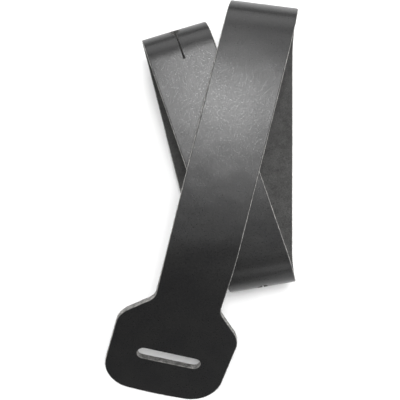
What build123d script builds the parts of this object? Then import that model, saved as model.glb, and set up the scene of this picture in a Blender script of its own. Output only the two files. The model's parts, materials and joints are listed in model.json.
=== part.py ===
from build123d import *
from math import cos, degrees, pi, radians, tan
import os

# A coiled leather instrument strap, cut from one thick strip, lying on its back run.
# The strip is followed from the back run both ways: up over the top bend to the front
# run and the slotted paddle, and down round the bottom bend to the inner run, the inner
# bend and the tail. Millimetres, +Z up, origin on the table under the coil's middle.

# Strip
strap_width = 44.5
leather = 4.2
seam = 0.3                  # clearance between two stretches that flex against each other

# Back run, which lies on the table
back_length = 145.7
back_centre = (44.83, 40.08)
back_lean = -0.1            # degrees to the left of +Y

# Bends: middle radius, angle turned and the slant of the fold across the strip
top_radius = 22.6
top_turn = 175.0
top_slant = 7.0
bottom_radius = 19.0
bottom_turn = 180.0
bottom_slant = -9.6
inner_radius = 16.2
inner_turn = 180.0
inner_slant = -2.45

# Front run: a gentle arch, a straight stretch and the droop towards the paddle
arch_radius = 668.0
arch_turn = 5.0
arch_slant = 9.4
front_lead = 6.0            # straight stretch between the top bend and the arch
front_straight = 76.0
droop_radius = 60.0
droop_turn = 24.0
droop_slant = 16.4

# Inner run and tail
inner_length = 146.0
tail_length = 110.0
tail_corner = 7.0

# Paddle, measured from the neck where the shoulders begin
neck_length = 19.4
paddle_yaw = -2.4           # degrees that the paddle turns sideways off the strip
paddle_half_width = 42.3
paddle_length = 81.8
shoulder_drop = 18.8
shoulder_hollow = 9.0
shoulder_corner = 17.1
paddle_corner = 22.6
paddle_crown = 2.0
slot_centre = 46.8
slot_length = 45.2
slot_width = 9.0

# Keyholes for a strap button
hole_radius = 3.2
keyhole_length = 20.5       # from the end of the slit to the hole's centre
slit_width = 0.8

# Where each bend flexes, as degrees round it
top_hinges = (30.0, 88.0, 146.0)
bottom_hinges = (68.0, 128.0, 160.0)
inner_hinges = (84.0, 120.0, 156.0)
droop_hinge = 12.0
inner_hole_at = 52.0
bottom_hole_at = 110.0


class Bend:
    """A bend of the strip towards its flesh side, about a fold that slants across it."""

    def __init__(self, name, start, radius, turn, slant):
        self.name = name
        self.start = start          # frame on the centre line: X across, Y along, Z flesh side
        self.radius = radius
        self.turn = turn
        self.slant = slant

    def advance(self, angle):
        """How far the strip has slid along the fold after an angle of the bend."""
        return -self.radius * radians(angle) * tan(radians(self.slant))

    def frame(self, angle):
        """Frame on the middle surface at an angle: X along the fold, Z to the bend's axis."""
        roll = Pos(0, 0, self.radius) * Rot(angle, 0, 0) * Pos(0, 0, -self.radius)
        return self.start * Rot(0, 0, -self.slant) * Pos(self.advance(angle), 0, 0) * roll

    def end(self):
        """Frame on the centre line just past the bend."""
        return self.frame(self.turn) * Rot(0, 0, self.slant)

    def seam_angle(self):
        """Half a seam, as an angle of the bend."""
        return degrees(seam / 2 / self.radius)


def curl(bend, first, last, width, thickness, mode=Mode.ADD):
    """The stretch of a bent strip between two angles, swept along its helix."""
    climbs_back = bend.slant > 0
    entry = last if climbs_back else first
    slope = tan(radians(abs(bend.slant)))
    axis = bend.frame(entry) * Pos(0, 0, bend.radius)
    across = axis * Rot(0, 90, 0)
    with BuildLine() as helix:
        Helix(
            pitch=2 * pi * bend.radius * slope,
            height=bend.radius * radians(last - first) * slope,
            radius=bend.radius,
            lefthand=climbs_back,
        )
    with BuildSketch(Plane(across * Pos(bend.radius, 0, 0) * Rot(90, 0, 0))) as section:
        Rectangle(thickness, width / cos(radians(bend.slant)))
    sweep(sections=section.sketch, path=across * helix.line, is_frenet=True, mode=mode)


def flat_run(frame, length, slant_in, slant_out, trim_in=0.0, corner=0.0):
    """A flat stretch of strip between two slanted folds, or up to a cut end with round corners."""
    edge = strap_width / 2
    with BuildSketch(Plane(frame)) as outline:
        with BuildLine():
            Polyline(
                (-edge, edge * tan(radians(slant_in)) + trim_in),
                (edge, -edge * tan(radians(slant_in)) + trim_in),
                (edge, length - edge * tan(radians(slant_out))),
                (-edge, length + edge * tan(radians(slant_out))),
                close=True,
            )
        make_face()
        if corner > 0:
            fillet(outline.vertices().group_by(Axis.Y)[-1], corner)
    extrude(outline.sketch, amount=leather / 2, both=True)


def punch(frame):
    """A round hole through the leather at a frame on its middle surface."""
    with BuildSketch(Plane(frame)) as hole:
        Circle(hole_radius)
    extrude(hole.sketch, amount=leather, both=True, mode=Mode.SUBTRACT)


def write(piece, name):
    """Label a finished piece and write it."""
    piece.part.label = name
    export_step(piece.part, f"parts/{name}.step")


# Frames along the strip
back = Pos(*back_centre, leather / 2) * Rot(0, 0, back_lean)
up_start = back * Pos(0, back_length / 2, 0)
down_start = back * Rot(0, 0, 180) * Pos(0, back_length / 2, 0)

top_bend = Bend("top_bend", up_start, top_radius, top_turn, top_slant)
arch = Bend("front_arch", top_bend.end() * Pos(0, front_lead, 0), arch_radius, arch_turn, arch_slant)
straight_start = arch.end()
droop = Bend("droop", straight_start * Pos(0, front_straight, 0), droop_radius, droop_turn, droop_slant)
neck_start = droop.end()
paddle_frame = neck_start * Pos(0, neck_length, 0) * Rot(0, 0, -paddle_yaw)

bottom_bend = Bend("bottom_bend", down_start, bottom_radius, bottom_turn, bottom_slant)
inner_start = bottom_bend.end()
inner_bend = Bend("inner_bend", inner_start * Pos(0, inner_length, 0), inner_radius, inner_turn, inner_slant)
tail_start = inner_bend.end()

# The hinge of each flexing stretch lies on the grain side, which is the bend's outside
top_hinge_frames = [top_bend.frame(angle) * Pos(0, 0, -leather / 2) for angle in top_hinges]
bottom_hinge_frames = [bottom_bend.frame(angle) * Pos(0, 0, -leather / 2) for angle in bottom_hinges]
inner_hinge_frames = [inner_bend.frame(angle) * Pos(0, 0, -leather / 2) for angle in inner_hinges]
front_hinge_frame = straight_start * Rot(0, 0, -arch_slant) * Pos(0, 0, -leather / 2)
paddle_hinge_frame = droop.frame(droop_hinge) * Pos(0, 0, -leather / 2)
slot_frame = paddle_frame * Pos(0, slot_centre, 0)
inner_hole_frame = inner_bend.frame(inner_hole_at)
bottom_hole_frame = bottom_bend.frame(bottom_hole_at)


def make_bend(bend, hinges, hole_at=None):
    """The stretches of one bend, parted at its hinges, with a keyhole if it has one."""
    marks = (0.0,) + hinges + (bend.turn,)
    for index in range(len(marks) - 1):
        first = marks[index] + (bend.seam_angle() if index > 0 else 0.0)
        last = marks[index + 1] - (bend.seam_angle() if index < len(hinges) else 0.0)
        with BuildPart() as stretch:
            curl(bend, first, last, strap_width, leather)
            if hole_at is not None:
                slit_end = hole_at - degrees(keyhole_length / bend.radius)
                slit_first = max(first - 1.0, slit_end)
                slit_last = min(last + 1.0, hole_at)
                if slit_last > slit_first:
                    curl(bend, slit_first, slit_last, slit_width, 2 * leather, Mode.SUBTRACT)
                if first < hole_at < last:
                    punch(bend.frame(hole_at))
        write(stretch, f"{bend.name}_{index + 1}")


os.makedirs("parts", exist_ok=True)

# Back run, between the top and bottom bends
with BuildPart() as back_run:
    flat_run(down_start * Rot(0, 0, 180), back_length, bottom_slant, top_slant)
write(back_run, "back_run")

make_bend(top_bend, top_hinges)
make_bend(bottom_bend, bottom_hinges, bottom_hole_at)
make_bend(inner_bend, inner_hinges, inner_hole_at)

# Front run: the upper stretch arches gently, the lower one is straight and then droops
with BuildPart() as front_lead_run:
    flat_run(top_bend.end(), front_lead, top_slant, arch_slant)
write(front_lead_run, "front_lead")

with BuildPart() as front_upper_run:
    curl(arch, 0.0, arch_turn - arch.seam_angle(), strap_width, leather)
write(front_upper_run, "front_upper_run")

with BuildPart() as front_lower_run:
    flat_run(straight_start, front_straight, arch_slant, droop_slant, seam / 2)
write(front_lower_run, "front_lower_run")

with BuildPart() as neck_upper:
    curl(droop, 0.0, droop_hinge - droop.seam_angle(), strap_width, leather)
write(neck_upper, "neck_upper")

with BuildPart() as neck_lower:
    curl(droop, droop_hinge + droop.seam_angle(), droop_turn, strap_width, leather)
write(neck_lower, "neck_lower")

# Paddle: the neck widens over two sloped shoulders to a rounded plate with a long slot
half_neck = strap_width / 2
neck_skew = half_neck * tan(radians(droop_slant))
to_paddle = paddle_frame.inverse() * neck_start
neck_left = (to_paddle * Pos(-half_neck, neck_skew, 0)).position
neck_right = (to_paddle * Pos(half_neck, -neck_skew, 0)).position
with BuildPart() as paddle_tab:
    with BuildSketch(Plane(paddle_frame)) as paddle_outline:
        with BuildLine():
            sides = Polyline(
                (-paddle_half_width, paddle_length - paddle_crown),
                (-paddle_half_width, shoulder_drop),
                (-half_neck, 0),
                (neck_left.X, neck_left.Y),
                (neck_right.X, neck_right.Y),
                (half_neck, 0),
                (paddle_half_width, shoulder_drop),
                (paddle_half_width, paddle_length - paddle_crown),
            )
            ThreePointArc(sides @ 1, (0, paddle_length), sides @ 0)
        make_face()
        fillet(paddle_outline.vertices().group_by(Axis.Y)[-1], paddle_corner)
        shoulder_rows = (0.0, shoulder_drop)
        for row, corner in zip(shoulder_rows, (shoulder_hollow, shoulder_corner)):
            fillet(paddle_outline.vertices().filter_by_position(Axis.Y, row - 0.1, row + 0.1), corner)
    extrude(amount=leather / 2, both=True)
    with BuildSketch(Plane(slot_frame)):
        SlotOverall(slot_length, slot_width)
    extrude(amount=leather, both=True, mode=Mode.SUBTRACT)
write(paddle_tab, "paddle_tab")

# Inner run and the free tail inside the coil
slit_on_run = keyhole_length - inner_radius * radians(inner_hole_at)
with BuildPart() as inner_run:
    flat_run(inner_start, inner_length, bottom_slant, inner_slant)
    with BuildSketch(Plane(inner_start)):
        with Locations((0, inner_length - slit_on_run / 2)):
            Rectangle(slit_width, slit_on_run)
    extrude(amount=leather, both=True, mode=Mode.SUBTRACT)
write(inner_run, "inner_run")

with BuildPart() as tail_run:
    flat_run(tail_start, tail_length, inner_slant, 0.0, corner=tail_corner)
write(tail_run, "tail_run")
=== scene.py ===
import json
from math import asin, ceil, cos, degrees, hypot, pi, radians, sin, tan

import bpy
import numpy as np
from mathutils import Matrix, Vector
from mathutils.geometry import delaunay_2d_cdt


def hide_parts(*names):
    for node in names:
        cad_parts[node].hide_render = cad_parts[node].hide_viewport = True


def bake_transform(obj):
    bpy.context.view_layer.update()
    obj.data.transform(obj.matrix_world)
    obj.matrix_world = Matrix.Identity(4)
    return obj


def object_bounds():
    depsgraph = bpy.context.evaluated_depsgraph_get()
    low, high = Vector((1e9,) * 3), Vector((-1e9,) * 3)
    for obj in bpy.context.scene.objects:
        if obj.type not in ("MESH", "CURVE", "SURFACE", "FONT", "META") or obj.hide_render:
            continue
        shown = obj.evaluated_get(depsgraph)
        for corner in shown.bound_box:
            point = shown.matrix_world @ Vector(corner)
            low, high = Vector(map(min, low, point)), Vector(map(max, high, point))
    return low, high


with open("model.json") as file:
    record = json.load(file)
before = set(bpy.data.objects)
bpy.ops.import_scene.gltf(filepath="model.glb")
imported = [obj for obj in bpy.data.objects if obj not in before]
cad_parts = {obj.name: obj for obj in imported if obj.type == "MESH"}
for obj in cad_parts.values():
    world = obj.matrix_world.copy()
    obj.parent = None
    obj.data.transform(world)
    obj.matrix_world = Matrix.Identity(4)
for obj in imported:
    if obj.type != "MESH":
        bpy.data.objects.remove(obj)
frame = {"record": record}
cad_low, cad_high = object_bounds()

# A coiled leather strap. Its outline, slot and keyholes are drawn flat, with v across the
# strap, s along it from the middle of the back run and h towards the flesh side. The skin
# is made in that flat space, rolled up round the bends and parted into one stretch for
# each hinge. Metres and degrees, in the row frame.

mm = 0.001

# Strap
strap_width = 44.5 * mm
leather = 4.2 * mm
back_length = 145.7 * mm
back_lean = -0.1                    # degrees to the left of +Y
front_lead = 6.0 * mm
front_straight = 76.0 * mm
inner_length = 146.0 * mm
tail_length = 110.0 * mm
tail_corner = 7.0 * mm

# Bends: middle radius, degrees turned and the slant of the fold across the strap
top_radius, top_turn, top_slant = 22.6 * mm, 175.0, 7.0
arch_radius, arch_turn, arch_slant = 668.0 * mm, 5.0, 9.4
droop_radius, droop_turn, droop_slant = 60.0 * mm, 24.0, 16.4
bottom_radius, bottom_turn, bottom_slant = 19.0 * mm, 180.0, -9.6
inner_radius, inner_turn, inner_slant = 16.2 * mm, 180.0, -2.45

# Paddle, measured from the neck
neck_length = 19.4 * mm
paddle_yaw = -2.4
paddle_half_width = 42.3 * mm
paddle_length = 81.8 * mm
shoulder_drop = 18.8 * mm
shoulder_hollow = 9.0 * mm
shoulder_corner = 17.1 * mm
paddle_corner = 22.6 * mm
paddle_crown = 2.0 * mm
crown_radius = 318.0 * mm
slot_centre = 46.8 * mm
slot_length = 45.2 * mm
slot_width = 9.0 * mm

# Keyholes
hole_radius = 3.2 * mm
keyhole_length = 20.5 * mm
slit_width = 0.9 * mm
relief_radius = 0.75 * mm           # small round hole at the end of the slit
bottom_hole_at = 110.0              # degrees round its bend
inner_hole_at = 52.0

# Hinges, as degrees round each bend, and how far the skin flexes on each side of them
top_hinges = (30.0, 88.0, 146.0)
bottom_hinges = (68.0, 128.0, 160.0)
inner_hinges = (84.0, 120.0, 156.0)
droop_hinge = 12.0
top_flex = 8.0 * mm
bottom_flex = 5.0 * mm
back_lower_flex = 6.5 * mm
inner_flex = 4.5 * mm
front_flex = 14.0 * mm
droop_flex = 12.0 * mm

# Edges: how far the dyed grain side and the flesh side are rounded over
grain_round = 0.9 * mm
flesh_round = 0.4 * mm
slot_round = 0.5 * mm
keyhole_round = 0.3 * mm
grain_round_steps = 6
flesh_round_steps = 4
wall_shares = (0.2, 0.4, 0.6, 0.8)  # rings on the cut wall, from the grain side
ragged = 0.05 * mm                  # unevenness of a cut edge
worn_off = 30.0                     # degrees round the grain side's rounding where the grain ends
dye_depth = 0.05 * mm               # from the grain face, where the dye starts to fade
raw_depth = 0.3 * mm                # and where raw leather begins

# Unevenness of the faces
wave_height = 0.09 * mm
ripple_height = 0.03 * mm
shading_reach = 5.0 * mm            # how far the leather's stiffness spreads a change of slope

# Mesh
edge_step = 1.2 * mm
bend_step = 1.1 * mm
flat_step = 3.5 * mm
column_step = 3.2 * mm
cut_margin = 0.66 * mm              # between the points inside a face and a cut
edge_margin = 1.56 * mm             # between the points inside a face and its rings
slot_step = 0.7 * mm
hole_step = 0.4 * mm
nudge = 0.02 * mm                   # step over which a slope is measured

# Loose fibres
fibre_count = 3200
shortest_fibre = 0.25 * mm
fibre_spread = 0.3 * mm
longest_fibre = 1.4 * mm
fibre_root = 0.05 * mm
thinnest_fibre = 0.025 * mm
thickest_fibre = 0.045 * mm
fibre_taper = 0.85
fibre_shares = (0.0, 0.4, 0.75, 1.0)        # rings along a fibre, from its root
fibre_heights = (-0.46, -0.40, 0.30)        # lowest, usual and highest root, as shares of leather
lean_spread = 0.7                           # slopes along the edge, off the face and of the bow
mean_lift = 0.1
lift_spread = 0.5
bow_spread = 0.5
random = np.random.default_rng(11)

grain_slot, flesh_slot, cut_slot = 0, 1, 2


# ---------------------------------------------------------------- the strap's path

def turn_z(angle):
    """A turn about Z by an angle in degrees."""
    return Matrix.Rotation(radians(angle), 4, "Z")


def ahead(distance):
    """A step along a frame's Y."""
    return Matrix.Translation((0, distance, 0))


class Bend:
    """A bend towards the flesh side, about a fold that slants across the strap."""

    def __init__(self, start, begins, radius, turn, slant):
        self.start = start          # frame on the centre line: X across, Y along, Z flesh side
        self.begins = begins        # distance along the strap
        self.radius = radius
        self.turn = radians(turn)
        self.slant = radians(slant)
        self.run = radius * self.turn / cos(self.slant)
        self.ends = begins + self.run

    def along(self, angle):
        """Distance along the strap at an angle round the bend."""
        return self.begins + self.radius * radians(angle) / cos(self.slant)

    def frame(self, angle):
        """Frame on the middle surface at an angle: X along the fold, Z to the bend's axis."""
        slide = -self.radius * radians(angle) * tan(self.slant)
        roll = Matrix.Rotation(radians(angle), 4, "X")
        out = Matrix.Translation((0, 0, self.radius))
        fold = Matrix.Rotation(-self.slant, 4, "Z")
        return self.start @ fold @ Matrix.Translation((slide, 0, 0)) @ out @ roll @ out.inverted()

    def end(self):
        """Frame on the centre line just past the bend."""
        return self.frame(degrees(self.turn)) @ Matrix.Rotation(self.slant, 4, "Z")


rest = next(mount for mount in frame["record"]["mounts"] if mount["name"] == "rest_face")
back = Matrix.Translation(Vector(rest["pos_m"]) + Vector((0, 0, leather / 2))) @ turn_z(back_lean)
back_turned = back @ turn_z(180)
half_back = back_length / 2

up_start = back @ ahead(half_back)
down_start = back_turned @ ahead(half_back)
top = Bend(up_start, half_back, top_radius, top_turn, top_slant)
arch_start = top.end() @ ahead(front_lead)
arch = Bend(arch_start, top.ends + front_lead, arch_radius, arch_turn, arch_slant)
droop_start = arch.end() @ ahead(front_straight)
droop = Bend(droop_start, arch.ends + front_straight, droop_radius, droop_turn, droop_slant)
bottom = Bend(down_start, half_back, bottom_radius, bottom_turn, bottom_slant)
inner_start = bottom.end() @ ahead(inner_length)
inner = Bend(inner_start, bottom.ends + inner_length, inner_radius, inner_turn, inner_slant)

neck_s = droop.ends + neck_length
tail_s = -(inner.ends + tail_length)


def carry(matrix, x, y, z):
    """Points x, y, z of a frame, in the row frame."""
    m = np.array(matrix)
    return np.column_stack((x, y, z)) @ m[:3, :3].T + m[:3, 3]


def along_branch(start, bends, v, s, h):
    """Points of the flat strap, carried from a start frame round the bends one after another."""
    points = carry(start, v, s, h)
    for bend in bends:
        past_start = s - bend.begins
        around = past_start * cos(bend.slant) + v * sin(bend.slant)
        aside = v * cos(bend.slant) - past_start * sin(bend.slant)
        angle = np.clip(around / bend.radius, 0, bend.turn)
        reach = bend.radius - h
        fold = bend.start @ Matrix.Rotation(-bend.slant, 4, "Z")
        rolled = carry(fold, aside, reach * np.sin(angle), bend.radius - reach * np.cos(angle))
        beyond = carry(bend.end(), v, past_start - bend.run, h)
        points = np.where((around > 0)[:, None], rolled, points)
        points = np.where((around > bend.radius * bend.turn)[:, None], beyond, points)
    return points


def wave(v, s):
    """The leather's slight unevenness, towards the flesh side only, so that it rests flat."""
    long_wave = np.sin(s / (19 * mm) + 2.1 * np.sin(v / (31 * mm) + s / (67 * mm)))
    cross_wave = np.sin(v / (9 * mm) + 1.7 * np.sin(s / (41 * mm)))
    return wave_height * (1 + long_wave) + ripple_height * (1 + cross_wave)


def place(flat):
    """Points v, s, h of the flat strap where they lie in the coil."""
    v, s, h = flat.T
    h = h + wave(v, s)
    up = along_branch(back, (top, arch, droop), v, s, h)
    down = along_branch(back_turned, (bottom, inner), -v, -s, h)
    return np.where((s > 0)[:, None], up, down)


def place_normals(flat, normals):
    """Directions of the flat strap, carried to the coil as surface normals."""
    sides = []
    for axis, reach in enumerate((nudge, shading_reach, nudge)):
        offset = np.zeros(3)
        offset[axis] = reach
        sides.append(place(flat + offset) - place(flat - offset))
    across, along, through = sides
    turned = normals[:, :1] * np.cross(along, through)
    turned += normals[:, 1:2] * np.cross(through, across)
    turned += normals[:, 2:] * np.cross(across, along)
    return turned / np.linalg.norm(turned, axis=1)[:, None]


# ---------------------------------------------------------------- outlines, drawn flat

def arc(centre, radius, first, last, step):
    """Points of an arc between two angles in degrees, both ends included."""
    count = max(2, ceil(abs(radians(last - first)) * radius / step))
    angles = np.radians(np.linspace(first, last, count + 1))
    return np.column_stack((centre[0] + radius * np.cos(angles), centre[1] + radius * np.sin(angles)))


def rounded(corners, step):
    """A closed outline through corners (x, y, radius), each rounded by its radius."""
    points = []
    for index, (x, y, radius) in enumerate(corners):
        corner = np.array((x, y))
        before = np.array(corners[index - 1][:2]) - corner
        after = np.array(corners[(index + 1) % len(corners)][:2]) - corner
        before /= np.linalg.norm(before)
        after /= np.linalg.norm(after)
        half = np.arccos(np.clip(before @ after, -1, 1)) / 2
        bisector = (before + after) / np.linalg.norm(before + after)
        centre = corner + bisector * radius / sin(half)
        first = corner + before * radius / tan(half) - centre
        last = corner + after * radius / tan(half) - centre
        start = degrees(np.arctan2(first[1], first[0]))
        sweep = (degrees(np.arctan2(last[1], last[0])) - start + 180) % 360 - 180
        points.extend(arc(centre, radius, start, start + sweep, step))
    return np.array(points)


def divided(outline, step):
    """The closed outline with points added so that none are further apart than step."""
    points = []
    for here, there in zip(outline, np.roll(outline, -1, axis=0)):
        gap = hypot(*(there - here))
        if gap < 1e-7:
            continue
        shares = np.arange(ceil(gap / step)) / ceil(gap / step)
        points.extend(here + shares[:, None] * (there - here))
    return np.array(points)


def on_paddle(points):
    """Points x, y of the paddle's own frame, in the flat strap."""
    turn = radians(-paddle_yaw)
    x, y = np.asarray(points, float).T
    return np.column_stack((x * cos(turn) - y * sin(turn), neck_s + x * sin(turn) + y * cos(turn)))


def strap_outline():
    """The strap's cut edge, anticlockwise from the tail."""
    half = strap_width / 2
    far = paddle_length - paddle_crown
    paddle = (
        (half, 0, shoulder_hollow),
        (paddle_half_width, shoulder_drop, shoulder_corner),
        (paddle_half_width, far, paddle_corner),
        (0, paddle_length, crown_radius),
        (-paddle_half_width, far, paddle_corner),
        (-paddle_half_width, shoulder_drop, shoulder_corner),
        (-half, 0, shoulder_hollow),
    )
    placed = on_paddle([corner[:2] for corner in paddle])
    corners = [(-half, tail_s, tail_corner), (half, tail_s, tail_corner)]
    corners += [(v, s, corner[2]) for (v, s), corner in zip(placed, paddle)]
    return divided(rounded(corners, edge_step), edge_step)


def slot_outline():
    """The paddle's long slot, clockwise."""
    radius = slot_width / 2
    reach = slot_length / 2 - radius
    right = arc((reach, slot_centre), radius, 90, -90, slot_step)
    left = arc((-reach, slot_centre), radius, 270, 90, slot_step)
    return divided(on_paddle(np.vstack((right, left))), edge_step)


def keyhole_outline(bend, angle):
    """A button hole on a lower bend with its slit towards the back run, clockwise."""
    hole_s = -bend.along(angle)
    slit_s = hole_s + keyhole_length / cos(bend.slant)
    meets_hole = degrees(asin(slit_width / 2 / hole_radius))
    meets_relief = degrees(asin(slit_width / 2 / relief_radius))
    hole = arc((0, hole_s), hole_radius, 90 - meets_hole, meets_hole - 270, hole_step)
    relief = arc((0, slit_s), relief_radius, 270 - meets_relief, meets_relief - 90, hole_step / 2)
    return divided(np.vstack((hole, relief)), edge_step)


# ---------------------------------------------------------------- the skin, made flat

class Skin:
    """Vertices and faces of the whole strap, in its flat space."""

    def __init__(self):
        self.flat = []
        self.normals = []
        self.count = 0
        self.faces = []
        self.slots = []
        self.anchors = []           # v, s that says which stretch a face belongs to

    def add_points(self, flat, normals):
        """Adds points v, s, h with their normals, and returns their numbers."""
        numbers = np.arange(self.count, self.count + len(flat))
        self.flat.append(np.asarray(flat, float))
        self.normals.append(np.asarray(normals, float))
        self.count += len(flat)
        return numbers

    def add_faces(self, faces, slot, anchors):
        """Adds faces of one material, each with its anchor."""
        self.faces.extend(faces)
        self.slots.extend([slot] * len(faces))
        self.anchors.extend(anchors)


def add_cut_points(outline, cuts):
    """The outline with a point wherever a cut crosses it, and those points' numbers by cut."""
    points = []
    marks = [[] for number in range(len(cuts))]
    for here, there in zip(outline, np.roll(outline, -1, axis=0)):
        points.append(here)
        for number, (cut_s, slope) in enumerate(cuts):
            before = here[1] + here[0] * slope - cut_s
            after = there[1] + there[0] * slope - cut_s
            if before * after < 0:
                marks[number].append(len(points))
                points.append(here + before / (before - after) * (there - here))
    return np.array(points), marks


def into_leather(outline):
    """For each point of an outline, the step into the leather that keeps an even margin."""
    forward = np.roll(outline, -1, axis=0) - outline
    forward /= np.linalg.norm(forward, axis=1)[:, None]
    here = np.column_stack((-forward[:, 1], forward[:, 0]))
    before = np.roll(here, 1, axis=0)
    return (here + before) / (1 + (here * before).sum(axis=1))[:, None]


def edge_profile(grain_radius, flesh_radius):
    """Steps from the grain face round the cut edge to the flesh face: depth, h, normal, slot."""
    half = leather / 2
    steps = []
    for angle in np.radians(np.linspace(0, 90, grain_round_steps)):
        depth = grain_radius * (1 - sin(angle))
        h = grain_radius * (1 - cos(angle)) - half
        slot = cut_slot if degrees(angle) > worn_off else grain_slot
        steps.append((depth, h, sin(angle), -cos(angle), slot))
    for share in wall_shares:
        h = grain_radius - half + share * (leather - grain_radius - flesh_radius)
        steps.append((0, h, 1, 0, cut_slot))
    for angle in np.radians(np.linspace(0, 90, flesh_round_steps)):
        depth = flesh_radius * (1 - cos(angle))
        h = half - flesh_radius * (1 - sin(angle))
        steps.append((depth, h, cos(angle), sin(angle), cut_slot))
    return steps


def add_edge(skin, outline, grain_radius, flesh_radius):
    """The rounded cut edge along an outline. Returns the rings on the grain and flesh faces."""
    step_in = into_leather(outline)
    outward = -step_in / np.linalg.norm(step_in, axis=1)[:, None]
    rings = []
    for depth, h, sideways, upwards, slot in edge_profile(grain_radius, flesh_radius):
        uneven = np.zeros(len(outline))
        if slot == cut_slot:
            uneven = ragged * random.normal(size=len(outline))
        ring = outline + step_in * (depth + np.clip(uneven, -2 * ragged, 2 * ragged))[:, None]
        flat = np.column_stack((ring, np.full(len(outline), h)))
        normals = np.column_stack((outward * sideways, np.full(len(outline), upwards)))
        rings.append((skin.add_points(flat, normals), slot))
    middle = (outline + np.roll(outline, -1, axis=0)) / 2
    for (lower, _), (upper, slot) in zip(rings, rings[1:]):
        quads = np.column_stack((lower, np.roll(lower, -1), np.roll(upper, -1), upper))
        skin.add_faces(quads.tolist(), slot, middle)
    return rings[0][0], rings[-1][0]


def in_leather(points, loops):
    """Which points lie inside the strap's outline and outside its holes."""
    inside = np.zeros(len(points), bool)
    for loop in loops:
        x0, y0 = loop.T
        x1, y1 = np.roll(loop, -1, axis=0).T
        rise = np.where(y1 == y0, 1e-12, y1 - y0)
        for first in range(0, len(points), 2000):
            x, y = points[first:first + 2000].T[:, :, None]
            crossed = ((y0 > y) != (y1 > y)) & (x < (x1 - x0) * (y - y0) / rise + x0)
            inside[first:first + 2000] ^= crossed.sum(axis=1) % 2 == 1
    return inside


def row_slants():
    """Where the rows of the mesh slant, and by how many degrees, so that they follow the folds."""
    knots = [(tail_s, 0.0)]
    for bend in (inner, bottom):
        knots += [(-bend.ends, degrees(bend.slant)), (-bend.begins, degrees(bend.slant))]
    knots.append((0.0, 0.0))
    for bend in (top, arch, droop):
        knots += [(bend.begins, degrees(bend.slant)), (bend.ends, degrees(bend.slant))]
    knots.append((neck_s + shoulder_drop, 0.0))
    return np.array(knots).T


def row_places():
    """Distances along the strap of the mesh's rows, close together on the bends."""
    bent = [(-inner.ends, -inner.begins, bend_step), (-bottom.ends, -bottom.begins, bend_step)]
    bent += [(top.begins, top.ends, bend_step), (droop.begins, droop.ends, 2 * bend_step)]
    marks = [tail_s]
    for first, last, _ in bent:
        marks += [first, last]
    marks.append(neck_s + paddle_length)
    places = []
    for index, (first, last) in enumerate(zip(marks, marks[1:])):
        step = bent[index // 2][2] if index % 2 else flat_step
        places.extend(np.linspace(first, last, ceil((last - first) / step), endpoint=False))
    return np.array(places)


def grid(edges, cuts):
    """Points that fill the strap's faces in rows along its folds, clear of edges and cuts."""
    knots, slants = row_slants()
    reach = int(paddle_half_width / column_step)
    across = np.arange(-reach, reach + 1) * column_step
    places = row_places()
    slopes = np.tan(np.radians(np.interp(places, knots, slants)))
    v = np.tile(across, len(places))
    s = (places[:, None] - across[None, :] * slopes[:, None]).ravel()
    points = np.column_stack((v, s))
    clear = np.ones(len(points), bool)
    for cut_s, slope in cuts:
        clear &= abs(s + v * slope - cut_s) > cut_margin
    points = points[clear & in_leather(points, edges)]
    every = np.vstack(edges)
    near = [np.min(np.hypot(*(every - point).T)) for point in points]
    return points[np.array(near) > edge_margin]


def face_edges(loops, marks, plan, cut_count):
    """Edges round a face's loops and along its cuts, and each cut's points from -v to +v."""
    edges, first = [], 0
    crossings = [[] for number in range(cut_count)]
    for loop, loop_marks in zip(loops, marks):
        edges += [(first + i, first + (i + 1) % len(loop)) for i in range(len(loop))]
        for number, found in enumerate(loop_marks):
            crossings[number] += [first + i for i in found]
        first += len(loop)
    for found in crossings:
        found.sort(key=lambda i: plan[i, 0])
        edges += list(zip(found[::2], found[1::2]))
    return edges, crossings


def add_face(skin, rings, marks, cuts, h, slot):
    """Fills one side of the strap inside its rings, with an edge along each cut."""
    flat = np.vstack(skin.flat)
    loops = [flat[ring, :2] for ring in rings]
    inside = grid(loops, cuts)
    side = np.sign(h)
    made = skin.add_points(
        np.column_stack((inside, np.full(len(inside), h))),
        np.tile((0.0, 0.0, side), (len(inside), 1)),
    )
    numbers = np.concatenate(rings + [made])
    plan = np.vstack(loops + [inside])
    edges, crossings = face_edges(loops, marks, plan, len(cuts))
    corners = [Vector(point) / mm for point in plan]
    _, _, triangles, sources, _, _ = delaunay_2d_cdt(corners, edges, [], 0, 1e-6)
    source = np.array([found[0] for found in sources])
    triangles = source[np.array(triangles)]
    centres = plan[triangles].mean(axis=1)
    kept = in_leather(centres, loops)
    triangles = triangles[kept]
    if side < 0:
        triangles = triangles[:, ::-1]
    skin.add_faces(numbers[triangles].tolist(), slot, centres[kept])
    return [plan[found] for found in crossings]


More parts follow.
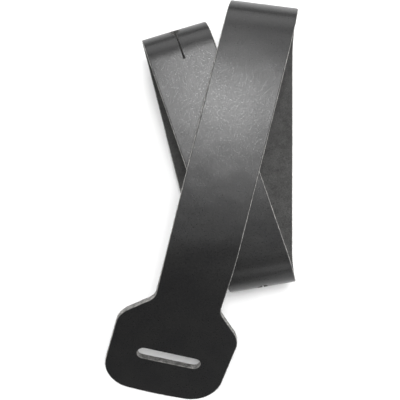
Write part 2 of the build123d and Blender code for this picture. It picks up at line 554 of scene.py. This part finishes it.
def add_fibres(skin, outlines):
    """Loose leather fibres standing off the cut edges, as thin tapering hairs."""
    outline = np.vstack(outlines)
    outward = -np.vstack([into_leather(each) for each in outlines])
    for base in random.integers(len(outline), size=fibre_count):
        out = outward[base] / np.linalg.norm(outward[base])
        side = np.array((-out[1], out[0]))
        length = min(shortest_fibre + random.exponential(fibre_spread), longest_fibre)
        thick = random.uniform(thinnest_fibre, thickest_fibre)
        h = random.triangular(*fibre_heights) * leather
        lean = random.normal(0, lean_spread)
        lift = random.normal(mean_lift, lift_spread)
        bow = random.normal(0, bow_spread)
        rings = []
        for share in fibre_shares:
            run = length * share
            sway = lean * share + bow * share * share
            centre = outline[base] + out * (run - fibre_root) + side * run * sway
            width = thick * (1 - fibre_taper * share)
            ring, normals = [], []
            for angle in (0, 2 * pi / 3, 4 * pi / 3):
                spoke = np.append(side * cos(angle), sin(angle))
                ring.append(np.append(centre, h + run * lift) + spoke * width)
                normals.append(spoke)
            rings.append(skin.add_points(ring, normals))
        faces = []
        for lower, upper in zip(rings, rings[1:]):
            for i in range(3):
                j = (i + 1) % 3
                faces.append([lower[i], lower[j], upper[j], upper[i]])
        skin.add_faces(faces, cut_slot, [outline[base]] * len(faces))


# ---------------------------------------------------------------- materials

def add_node(tree, kind, inputs=(), **settings):
    """A shader node with its settings, and its inputs set or linked."""
    node = tree.nodes.new(kind)
    for name, value in settings.items():
        setattr(node, name, value)
    for name, value in dict(inputs).items():
        if isinstance(value, bpy.types.NodeSocket):
            tree.links.new(value, node.inputs[name])
        else:
            node.inputs[name].default_value = value
    return node


def new_material(name):
    """A material with a Principled shader, and the strap's flat coordinates in metres."""
    material = bpy.data.materials.new(name)
    material.use_nodes = True
    tree = material.node_tree
    flat = add_node(tree, "ShaderNodeAttribute", attribute_name="flat").outputs["Vector"]
    return material, tree, tree.nodes["Principled BSDF"], flat


def noise(tree, vector, size, detail=3.0, roughness=0.55, distortion=0.0):
    """Noise with features of a size in metres."""
    inputs = {"Vector": vector, "Scale": 1 / size, "Detail": detail, "Roughness": roughness}
    inputs["Distortion"] = distortion
    return add_node(tree, "ShaderNodeTexNoise", inputs).outputs["Fac"]


def ranged(tree, value, low, high, out_low, out_high):
    """A value carried from one range to another."""
    inputs = {"Value": value, "From Min": low, "From Max": high, "To Min": out_low, "To Max": out_high}
    return add_node(tree, "ShaderNodeMapRange", inputs).outputs["Result"]


def mixed(tree, share, first, second):
    """A colour between two greys or colours."""
    node = add_node(tree, "ShaderNodeMix", data_type="RGBA")
    tree.links.new(share, node.inputs["Factor"])
    for socket, colour in ((node.inputs[6], first), (node.inputs[7], second)):
        if isinstance(colour, bpy.types.NodeSocket):
            tree.links.new(colour, socket)
        else:
            socket.default_value = (*colour, 1)
    return node.outputs[2]


def bumped(tree, height, strength, depth, normal=None):
    """A normal with a height added to it."""
    inputs = {"Height": height, "Strength": strength, "Distance": depth}
    if normal is not None:
        inputs["Normal"] = normal
    return add_node(tree, "ShaderNodeBump", inputs).outputs["Normal"]


def grain_material():
    """Black satin grain: fine pebbles and creases that vary the gloss, and faint rubbed patches."""
    material, tree, shader, flat = new_material("strap_grain")
    pebbles = noise(tree, flat, 0.75 * mm, detail=2.0)
    creases = noise(tree, flat, 1.1 * mm, detail=2.0, roughness=0.5)
    pores = noise(tree, flat, 0.3 * mm, detail=1.0)
    sag = noise(tree, flat, 14 * mm, detail=1.0)
    patches = noise(tree, flat, 22 * mm, detail=3.0, roughness=0.6)
    normal = bumped(tree, sag, 0.5, 0.35 * mm)
    normal = bumped(tree, creases, 0.5, 0.035 * mm, normal)
    normal = bumped(tree, pebbles, 0.6, 0.03 * mm, normal)
    normal = bumped(tree, pores, 0.5, 0.02 * mm, normal)
    tree.links.new(normal, shader.inputs["Normal"])
    speckle = ranged(tree, creases, 0.35, 0.65, 0.0, 1.0)
    worn = ranged(tree, patches, 0.3, 0.7, 0.0, 1.0)
    dark = mixed(tree, speckle, (0.0055, 0.0055, 0.006), (0.010, 0.010, 0.0105))
    light = mixed(tree, speckle, (0.008, 0.008, 0.008), (0.014, 0.0138, 0.0135))
    tree.links.new(mixed(tree, worn, dark, light), shader.inputs["Base Color"])
    tree.links.new(ranged(tree, pebbles, 0.3, 0.7, 0.26, 0.39), shader.inputs["Roughness"])
    shader.inputs["Specular IOR Level"].default_value = 0.4
    return material


def flesh_material():
    """Dark suede-like flesh side: matted nap with paler fibres and a soft sheen."""
    material, tree, shader, flat = new_material("strap_flesh")
    nap = noise(tree, flat, 0.9 * mm, detail=6.0, roughness=0.7, distortion=1.2)
    clumps = noise(tree, flat, 7 * mm, detail=4.0, roughness=0.6)
    raised = ranged(tree, nap, 0.35, 0.7, 0.0, 1.0)
    dark = mixed(tree, raised, (0.026, 0.026, 0.026), (0.066, 0.065, 0.063))
    light = mixed(tree, raised, (0.040, 0.040, 0.040), (0.092, 0.091, 0.088))
    shade = ranged(tree, clumps, 0.35, 0.65, 0.0, 1.0)
    tree.links.new(mixed(tree, shade, dark, light), shader.inputs["Base Color"])
    normal = bumped(tree, clumps, 0.4, 0.4 * mm)
    tree.links.new(bumped(tree, nap, 0.8, 0.2 * mm, normal), shader.inputs["Normal"])
    shader.inputs["Roughness"].default_value = 0.92
    shader.inputs["Specular IOR Level"].default_value = 0.2
    shader.inputs["Sheen Weight"].default_value = 0.15
    shader.inputs["Sheen Roughness"].default_value = 0.5
    return material


def cut_material():
    """Raw cut edge: pale packed fibres in layers, dyed beside the grain face."""
    material, tree, shader, flat = new_material("strap_cut_edge")
    stretch = {"Vector": flat, "Scale": (0.35, 0.35, 2.2)}
    layered = add_node(tree, "ShaderNodeMapping", stretch).outputs["Vector"]
    fibres = noise(tree, layered, 0.5 * mm, detail=6.0, roughness=0.75, distortion=0.6)
    stains = noise(tree, flat, 3.5 * mm, detail=3.0, roughness=0.6)
    packed = ranged(tree, fibres, 0.35, 0.68, 0.0, 1.0)
    pale = mixed(tree, packed, (0.11, 0.108, 0.105), (0.55, 0.54, 0.52))
    dull = mixed(tree, packed, (0.06, 0.06, 0.06), (0.32, 0.315, 0.305))
    body = mixed(tree, ranged(tree, stains, 0.4, 0.62, 0.0, 1.0), pale, dull)
    depth = add_node(tree, "ShaderNodeSeparateXYZ", {"Vector": flat}).outputs["Z"]
    raw = ranged(tree, depth, dye_depth - leather / 2, raw_depth - leather / 2, 0.0, 1.0)
    tree.links.new(mixed(tree, raw, (0.022, 0.022, 0.022), body), shader.inputs["Base Color"])
    tree.links.new(bumped(tree, fibres, 0.9, 0.15 * mm), shader.inputs["Normal"])
    shader.inputs["Roughness"].default_value = 0.85
    shader.inputs["Specular IOR Level"].default_value = 0.25
    return material


# ---------------------------------------------------------------- stretches, one per hinge

def grain_hinge(bend, angle):
    """The frame of a hinge on the grain side of a bend."""
    return bend.frame(angle) @ Matrix.Translation((0, 0, -leather / 2))


front_hinge = arch.end() @ turn_z(-degrees(arch.slant)) @ Matrix.Translation((0, 0, -leather / 2))

# From the tail to the paddle: name, the bodies it joins, the hinge, how far it flexes on
# each side of the hinge, and the CAD nodes it stands for
stretches = (
    ("strap_tail", "inner_curl_b", "tail", grain_hinge(inner, inner_hinges[2]), inner_flex,
     ("inner_bend_4", "tail_run")),
    ("strap_inner_curl", "inner_curl_a", "inner_curl_b", grain_hinge(inner, inner_hinges[1]),
     inner_flex, ("inner_bend_2", "inner_bend_3")),
    ("strap_inner_run", "inner", "inner_curl_a", grain_hinge(inner, inner_hinges[0]),
     inner_flex, ("inner_run", "inner_bend_1")),
    ("strap_bottom_rise", "bottom_curl_b", "inner", grain_hinge(bottom, bottom_hinges[2]),
     bottom_flex, ("bottom_bend_4",)),
    ("strap_bottom_curl", "bottom_curl_a", "bottom_curl_b", grain_hinge(bottom, bottom_hinges[1]),
     bottom_flex, ("bottom_bend_2", "bottom_bend_3")),
    ("strap_back_lower", "back", "bottom_curl_a", grain_hinge(bottom, bottom_hinges[0]),
     back_lower_flex, ("bottom_bend_1",)),
    ("strap_back_upper", "back", "top_curl_a", grain_hinge(top, top_hinges[0]), top_flex,
     ("back_run", "top_bend_1")),
    ("strap_top_curl", "top_curl_a", "top_curl_b", grain_hinge(top, top_hinges[1]), top_flex,
     ("top_bend_2", "top_bend_3")),
    ("strap_top_rise", "top_curl_b", "front_upper", grain_hinge(top, top_hinges[2]), top_flex,
     ("top_bend_4", "front_lead")),
    ("strap_front_run", "front_upper", "front_lower", front_hinge, front_flex,
     ("front_upper_run", "front_lower_run")),
    ("strap_paddle", "front_lower", "paddle", grain_hinge(droop, droop_hinge), droop_flex,
     ("neck_upper", "neck_lower", "paddle_tab")),
)


def midway(bend, hinges, first):
    """Distance along the strap, half way between one hinge of a bend and the next."""
    return bend.along((hinges[first] + hinges[first + 1]) / 2)


# Where one stretch gives way to the next, half way along the body they share
parting_places = (
    -midway(inner, inner_hinges, 1),
    -midway(inner, inner_hinges, 0),
    -(bottom.ends + inner_length / 2),
    -midway(bottom, bottom_hinges, 1),
    -midway(bottom, bottom_hinges, 0),
    0.0,
    midway(top, top_hinges, 0),
    midway(top, top_hinges, 1),
    arch.along(arch_turn / 2),
    droop.begins - front_straight / 2,
)


def make_skin(cuts):
    """The whole strap's skin, and the stretch that each face belongs to."""
    skin = Skin()
    shapes = (
        (strap_outline(), grain_round, flesh_round),
        (slot_outline(), slot_round, slot_round / 2),
        (keyhole_outline(bottom, bottom_hole_at), keyhole_round, keyhole_round / 2),
        (keyhole_outline(inner, inner_hole_at), keyhole_round, keyhole_round / 2),
    )
    outlines, marks, grain_rings, flesh_rings = [], [], [], []
    for shape, grain_radius, flesh_radius in shapes:
        outline, found = add_cut_points(shape, cuts)
        grain_ring, flesh_ring = add_edge(skin, outline, grain_radius, flesh_radius)
        outlines.append(outline)
        marks.append(found)
        grain_rings.append(grain_ring)
        flesh_rings.append(flesh_ring)
    grain_lines = add_face(skin, grain_rings, marks, cuts, -leather / 2, grain_slot)
    grain_end = len(skin.faces)
    flesh_lines = add_face(skin, flesh_rings, marks, cuts, leather / 2, flesh_slot)
    add_fibres(skin, outlines[:2])
    anchors = np.array(skin.anchors)
    belongs = np.zeros(len(anchors), int)
    for grain_line, flesh_line in zip(grain_lines, flesh_lines):
        on_grain = np.interp(anchors[:, 0], grain_line[:, 0], grain_line[:, 1])
        on_flesh = np.interp(anchors[:, 0], flesh_line[:, 0], flesh_line[:, 1])
        passes = np.where(np.arange(len(anchors)) < grain_end, on_grain, on_flesh)
        belongs += anchors[:, 1] > passes
    return skin, belongs


def make_stretch(name, chosen, faces, slots, flat, points, normals, materials):
    """One stretch of the strap as an object."""
    used = np.unique(np.concatenate([faces[i] for i in chosen]))
    renumbered = {old: new for new, old in enumerate(used.tolist())}
    mesh = bpy.data.meshes.new(name)
    mesh.from_pydata(points[used].tolist(), [], [[renumbered[i] for i in faces[f]] for f in chosen])
    for material in materials:
        mesh.materials.append(material)
    mesh.polygons.foreach_set("material_index", [slots[i] for i in chosen])
    mesh.polygons.foreach_set("use_smooth", [True] * len(chosen))
    mesh.attributes.new("flat", "FLOAT_VECTOR", "POINT").data.foreach_set("vector", flat[used].ravel())
    mesh.normals_split_custom_set_from_vertices(normals[used].tolist())
    piece = bpy.data.objects.new(name, mesh)
    bpy.context.scene.collection.objects.link(piece)
    return piece


def make_strap():
    """The strap in its stretches, one object for each, with the CAD parts they stand for hidden."""
    knots, slants = row_slants()
    cuts = [(place_s, tan(radians(np.interp(place_s, knots, slants)))) for place_s in parting_places]
    skin, belongs = make_skin(cuts)
    flat = np.vstack(skin.flat)
    points = place(flat)
    points[:, 2] = np.maximum(points[:, 2], 0)          # loose fibres lie on the table
    normals = place_normals(flat, np.vstack(skin.normals))
    materials = (grain_material(), flesh_material(), cut_material())
    for number, (name, first, second, hinge, flex, nodes) in enumerate(stretches):
        chosen = np.flatnonzero(belongs == number)
        piece = make_stretch(name, chosen, skin.faces, skin.slots, flat, points, normals, materials)
        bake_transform(piece)
        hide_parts(*nodes)


# ---------------------------------------------------------------- studio and camera

floor_size = 3.2
room_light = 0.12
camera_height = 333.8 * mm
camera_aside = -0.75 * mm           # from over the middle of the coil
camera_ahead = 5.6 * mm
half_view = 4 / 9                   # half the picture's width over the camera's height
sensor_width = 36.0


def make_floor():
    """A plain pale table under the strap."""
    mesh = bpy.data.meshes.new("floor")
    half = floor_size / 2
    corners = [(-half, -half, 0), (half, -half, 0), (half, half, 0), (-half, half, 0)]
    mesh.from_pydata(corners, [], [(0, 1, 2, 3)])
    material = bpy.data.materials.new("floor_paper")
    material.use_nodes = True
    shader = material.node_tree.nodes["Principled BSDF"]
    shader.inputs["Base Color"].default_value = (0.9, 0.9, 0.9, 1)
    shader.inputs["Roughness"].default_value = 0.9
    shader.inputs["Specular IOR Level"].default_value = 0.1
    mesh.materials.append(material)
    floor = bpy.data.objects.new("floor", mesh)
    bpy.context.scene.collection.objects.link(floor)


def add_softbox(name, bearing, elevation, distance, width, depth, power):
    """A softbox that faces the strap from a bearing round from +X, and up from the floor."""
    light = bpy.data.lights.new(name, "AREA")
    light.shape = "RECTANGLE"
    light.size = width
    light.size_y = depth
    light.energy = power
    box = bpy.data.objects.new(name, light)
    aim = Matrix.Rotation(radians(bearing), 3, "Z") @ Matrix.Rotation(-radians(elevation), 3, "Y")
    direction = aim @ Vector((1, 0, 0))
    box.location = direction * distance
    box.rotation_euler = direction.to_track_quat("Z", "Y").to_euler()
    bpy.context.scene.collection.objects.link(box)


# Name, bearing, elevation, distance, width, depth and power: a key that the front run
# mirrors, a broad fill on each side, and strips that the bends mirror
softboxes = (
    ("key_softbox", 77.5, 72.1, 1.0, 0.38, 0.29, 7.2),
    ("left_softbox", 180, 40, 1.3, 1.1, 1.1, 8.5),
    ("right_softbox", 0, 40, 1.3, 1.1, 1.1, 8.5),
    ("back_softbox", 90, 32, 1.3, 1.2, 0.75, 8.5),
    ("front_softbox", -50, 8, 1.3, 0.8, 0.3, 4.5),
    ("corner_softbox", -58, 42, 1.3, 0.45, 0.6, 2.0),
)


def make_lights():
    """The softboxes, in a dim room."""
    for softbox in softboxes:
        add_softbox(*softbox)
    world = bpy.data.worlds.new("studio")
    world.use_nodes = True
    world.node_tree.nodes["Background"].inputs["Color"].default_value = (1, 1, 1, 1)
    world.node_tree.nodes["Background"].inputs["Strength"].default_value = room_light
    bpy.context.scene.world = world


def make_camera():
    """Straight above the strap, close enough for its strong perspective."""
    camera = bpy.data.cameras.new("camera")
    camera.sensor_width = sensor_width
    camera.lens = sensor_width / 2 / half_view
    camera.clip_start = 0.01
    holder = bpy.data.objects.new("camera", camera)
    centre = (cad_low + cad_high) / 2
    holder.location = (centre.x + camera_aside, centre.y + camera_ahead, camera_height)
    bpy.context.scene.collection.objects.link(holder)
    bpy.context.scene.camera = holder


make_strap()
make_floor()
make_lights()
make_camera()
bpy.context.scene.view_settings.view_transform = "Standard"
